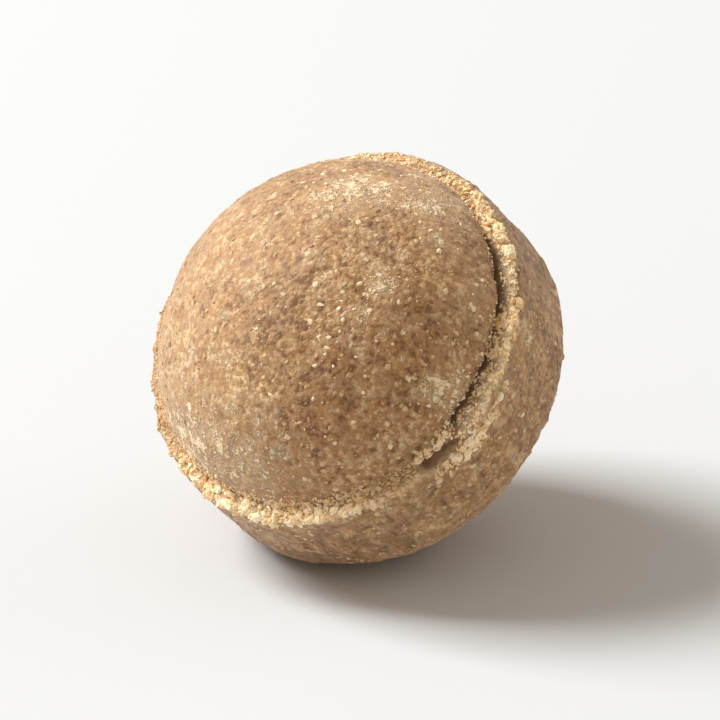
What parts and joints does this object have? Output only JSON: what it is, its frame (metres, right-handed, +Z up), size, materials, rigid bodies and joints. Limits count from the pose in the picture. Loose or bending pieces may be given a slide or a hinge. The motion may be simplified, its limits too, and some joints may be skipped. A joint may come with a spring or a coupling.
{
  "type": "pearl millet ladoo",
  "caption": "Ball-shaped sweet of pressed pearl millet meal: smooth domes, a raised belt with crumbly edges round the middle, and a small flat foot to rest on.",
  "frame": {"origin": "on the floor, under the middle of the ball's bounding box", "axes": "+Z up; the pressing axis leans 45.5 degrees from +Z, towards -X and -Y"},
  "size_m": [0.0412, 0.04, 0.0389],
  "materials": {
    "pressed_meal": "matt pressed meal"
  },
  "bodies": {
    "root": {"ladoo": "pressed_meal"}
  },
  "joints": []
}
